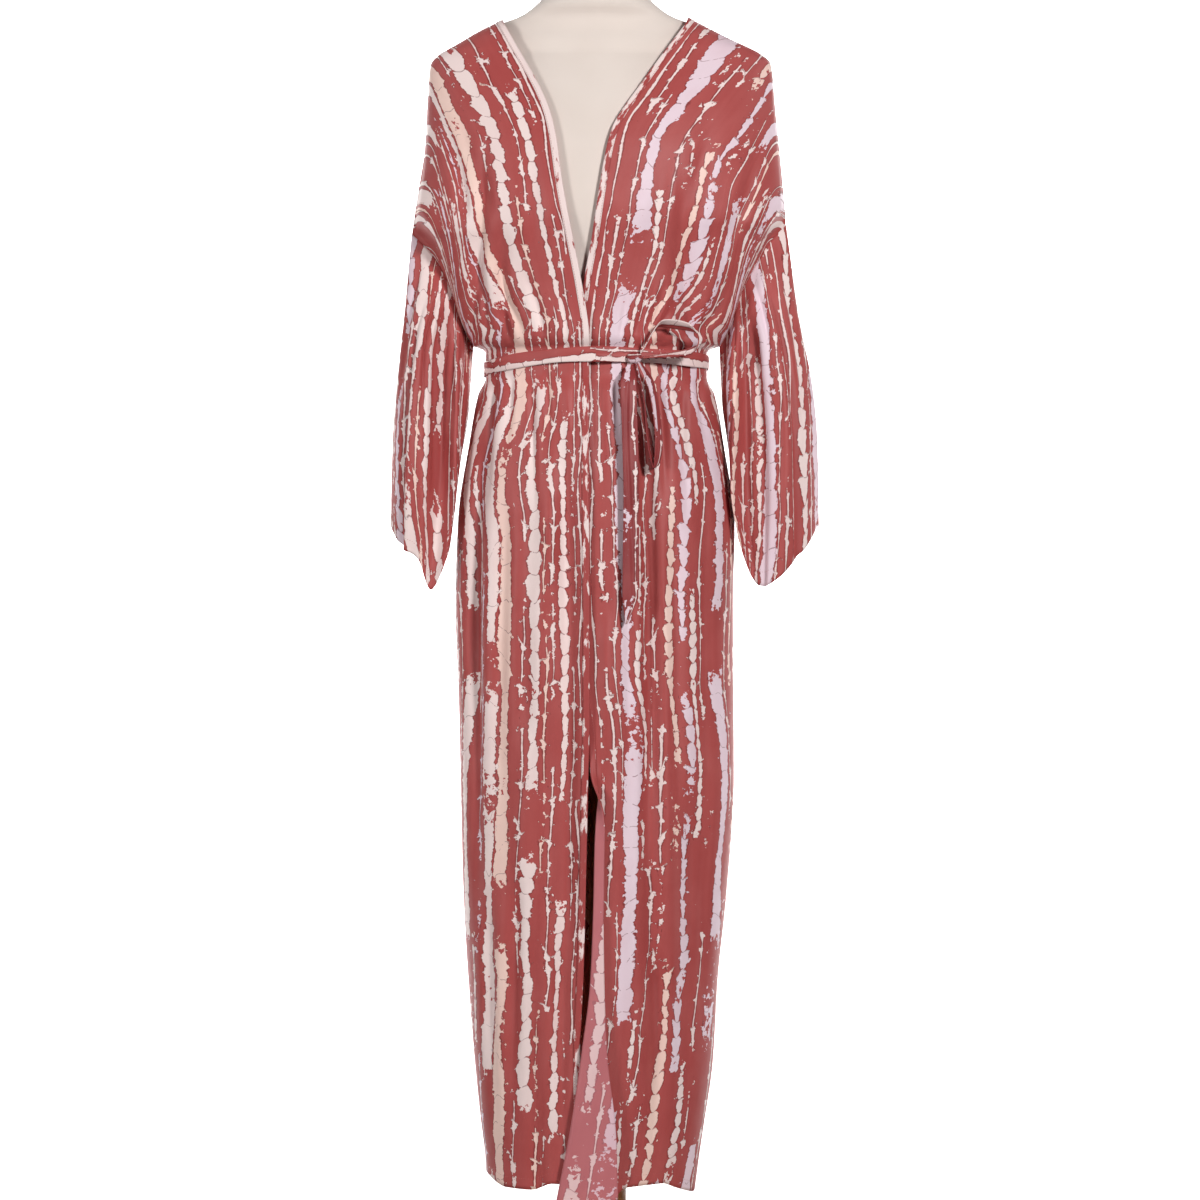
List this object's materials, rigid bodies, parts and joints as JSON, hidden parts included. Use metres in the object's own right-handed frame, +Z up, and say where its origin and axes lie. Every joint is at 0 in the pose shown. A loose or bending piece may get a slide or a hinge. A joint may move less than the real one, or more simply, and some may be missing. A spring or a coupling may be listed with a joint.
{
  "type": "beach kimono on dress form",
  "caption": "Ankle-length open robe with wide dropped sleeves and a tied belt, resting on a limbless dress form on a pole and round base.",
  "frame": {"origin": "on the floor under the robe's middle, on the underside of the stand's base", "axes": "+Z up the pole, -Y out of the robe's front, +X to the wearer's left"},
  "size_m": [0.5084, 0.37, 1.5983],
  "materials": {
    "printed_cloth": "smooth satin-weave cloth, resist-dyed stripes",
    "edge_band": "pale folded edge of the same cloth",
    "form_jersey": "matte stretched jersey",
    "stand_wood": "pale satin-varnished wood"
  },
  "bodies": {
    "root": {"front_right": "printed_cloth", "front_left": "printed_cloth", "back": "printed_cloth", "sleeve_right": "printed_cloth", "sleeve_left": "printed_cloth", "band_right": "edge_band", "band_left": "edge_band", "belt_waist": "printed_cloth", "belt_knot": "printed_cloth", "belt_loop_upper": "printed_cloth", "belt_loop_lower": "printed_cloth", "belt_tail": "printed_cloth", "form_torso": "form_jersey", "neck_cap": "stand_wood", "pole": "stand_wood", "pole_collar": "stand_wood", "base": "stand_wood"}
  },
  "joints": []
}
